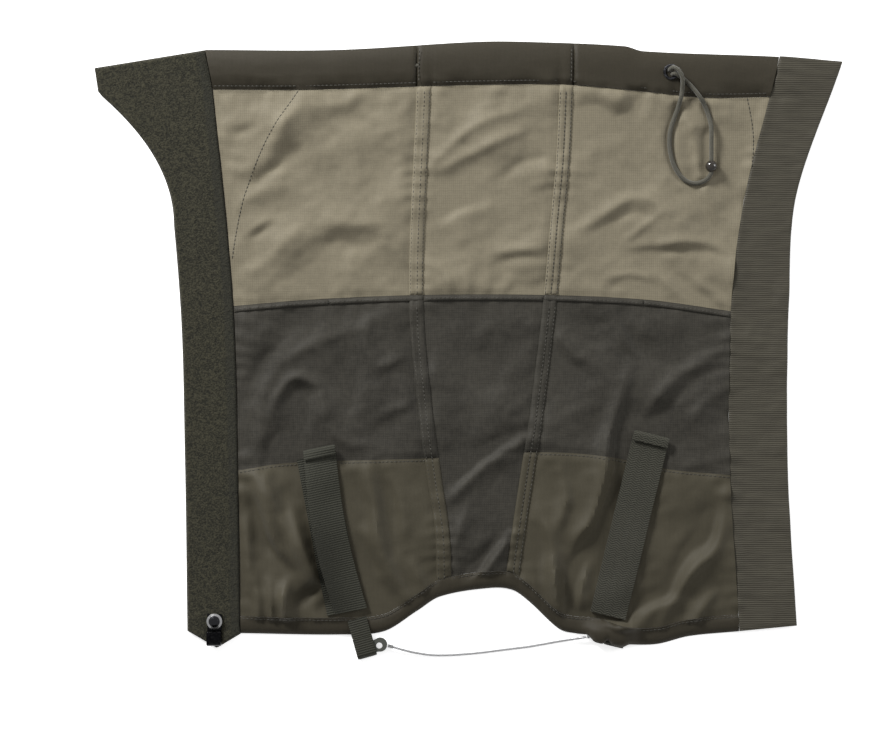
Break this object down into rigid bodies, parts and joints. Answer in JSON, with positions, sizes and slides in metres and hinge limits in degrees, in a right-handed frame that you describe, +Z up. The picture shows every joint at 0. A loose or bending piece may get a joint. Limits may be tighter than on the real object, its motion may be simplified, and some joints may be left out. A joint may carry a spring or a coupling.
{
  "type": "gaiter",
  "caption": "Wrap-around cloth leg gaiter laid open flat: calf band with drawcord, loop and hook tape front, hem straps, lace hook and steel stirrup cable.",
  "frame": {"origin": "bottom centre of the object's box, measured without the free cords, on the surface it lies on", "axes": "+Z up off the surface, out of the inside face; +Y up the leg to the calf band; +X from the loop-tape edge to the flap edge"},
  "size_m": [0.523, 0.4324, 0.0126],
  "materials": {
    "khaki_cloth": "matt woven nylon",
    "grey_cloth": "matt woven nylon",
    "olive_cloth": "matt woven nylon",
    "loop_pile": "fuzzy loop pile",
    "hook_pile": "rows of fine hooks",
    "webbing": "ribbed and herringbone webbing",
    "elastic": "braided elastic tape",
    "drawcord": "braided elastic cord",
    "bead": "glossy moulded bead",
    "eyelet_metal": "gunmetal plate",
    "rivet_metal": "nickel plate",
    "black_metal": "glossy black plate",
    "moulding": "moulded nylon",
    "cable_steel": "bright stranded steel"
  },
  "bodies": {
    "back": {"back_upper_panel": "khaki_cloth", "back_lower_panel": "grey_cloth", "top_band_centre": "olive_cloth", "drawcord_centre": "drawcord", "heel_hem": "grey_cloth", "heel_elastic": "elastic", "back_waist_strip": "olive_cloth", "left_seam_upper": "khaki_cloth", "left_seam_lower": "grey_cloth", "right_seam_upper": "khaki_cloth", "right_seam_lower": "grey_cloth", "stirrup_cable": "cable_steel"},
    "left_wing": {"left_upper_panel": "khaki_cloth", "left_middle_panel": "grey_cloth", "left_lower_panel": "olive_cloth", "left_hem": "olive_cloth", "left_hem_elastic": "elastic", "left_waist_strip": "olive_cloth", "top_band_left": "olive_cloth", "drawcord_left": "drawcord", "left_strap_anchor": "webbing", "left_loop_tab": "webbing"},
    "left_front": {"front_tape_backing": "olive_cloth", "loop_tape": "loop_pile", "hook_rivet": "rivet_metal", "rivet_washer": "rivet_metal", "lace_hook": "black_metal"},
    "right_wing": {"right_upper_panel": "khaki_cloth", "right_middle_panel": "grey_cloth", "right_lower_panel": "olive_cloth", "right_hem_back": "olive_cloth", "right_elastic_back": "elastic", "right_hem_front": "olive_cloth", "right_elastic_front": "elastic", "right_waist_strip": "olive_cloth", "top_band_right": "olive_cloth", "drawcord_right": "drawcord", "drawcord_front": "drawcord", "eyelet": "eyelet_metal", "eyelet_washer": "eyelet_metal", "drawcord_loop": "drawcord", "right_strap_anchor": "webbing", "right_loop_tab": "webbing"},
    "right_front": {"front_flap": "olive_cloth", "hook_tape": "hook_pile"},
    "left_tail": {"left_strap_tail": "webbing"},
    "right_tail": {"right_strap_tail": "webbing"},
    "left_fitting": {"left_strap_loop": "webbing", "left_cable_fitting": "moulding", "left_ferrule": "cable_steel"},
    "right_fitting": {"right_strap_loop": "webbing", "right_cable_fitting": "moulding", "right_ferrule": "cable_steel"},
    "bead": {"cord_bead": "bead"}
  },
  "joints": [
    {"name": "left_wing_fold", "type": "hinge", "parent": "back", "child": "left_wing", "pos_m": [-0.03974, 0.21048, 0.0049], "axis": [-0.0499, 0.9988, 0], "range_deg": [0, 90], "deforming": ["stirrup_cable"]},
    {"name": "right_wing_fold", "type": "hinge", "parent": "back", "child": "right_wing", "pos_m": [0.07926, 0.21048, 0.0049], "axis": [-0.0972, -0.9953, 0], "range_deg": [0, 90], "deforming": ["stirrup_cable"]},
    {"name": "front_tape_fold", "type": "hinge", "parent": "left_wing", "child": "left_front", "pos_m": [-0.1576, -0.198, 0.0032], "axis": [0.0222, -0.9998, 0], "range_deg": [-60, 0]},
    {"name": "front_flap_fold", "type": "hinge", "parent": "right_wing", "child": "right_front", "pos_m": [0.1812, -0.078, 0.0034], "axis": [0.012, 0.9999, 0], "range_deg": [-60, 0]},
    {"name": "left_tail_lift", "type": "hinge", "parent": "left_wing", "child": "left_tail", "pos_m": [-0.08324, -0.18237, 0.0055], "axis": [-0.9813, -0.1925, 0], "range_deg": [-120, 0]},
    {"name": "right_tail_lift", "type": "hinge", "parent": "right_wing", "child": "right_tail", "pos_m": [0.09736, -0.18517, 0.0055], "axis": [-0.9716, 0.2368, 0], "range_deg": [-120, 0]},
    {"name": "left_fitting_swing", "type": "hinge", "parent": "left_wing", "child": "left_fitting", "pos_m": [-0.07241, -0.19854, 0.0055], "axis": [0.9627, 0.2706, 0], "range_deg": [-60, 0], "deforming": ["stirrup_cable"]},
    {"name": "right_fitting_swing", "type": "hinge", "parent": "right_wing", "child": "right_fitting", "pos_m": [0.10222, -0.19328, 0], "axis": [-0.9716, 0.2368, 0], "range_deg": [-60, 0], "deforming": ["stirrup_cable"]},
    {"name": "bead_slide", "type": "slide", "parent": "right_wing", "child": "bead", "axis": [0, 1, 0], "range_m": [0, 0.02]}
  ]
}
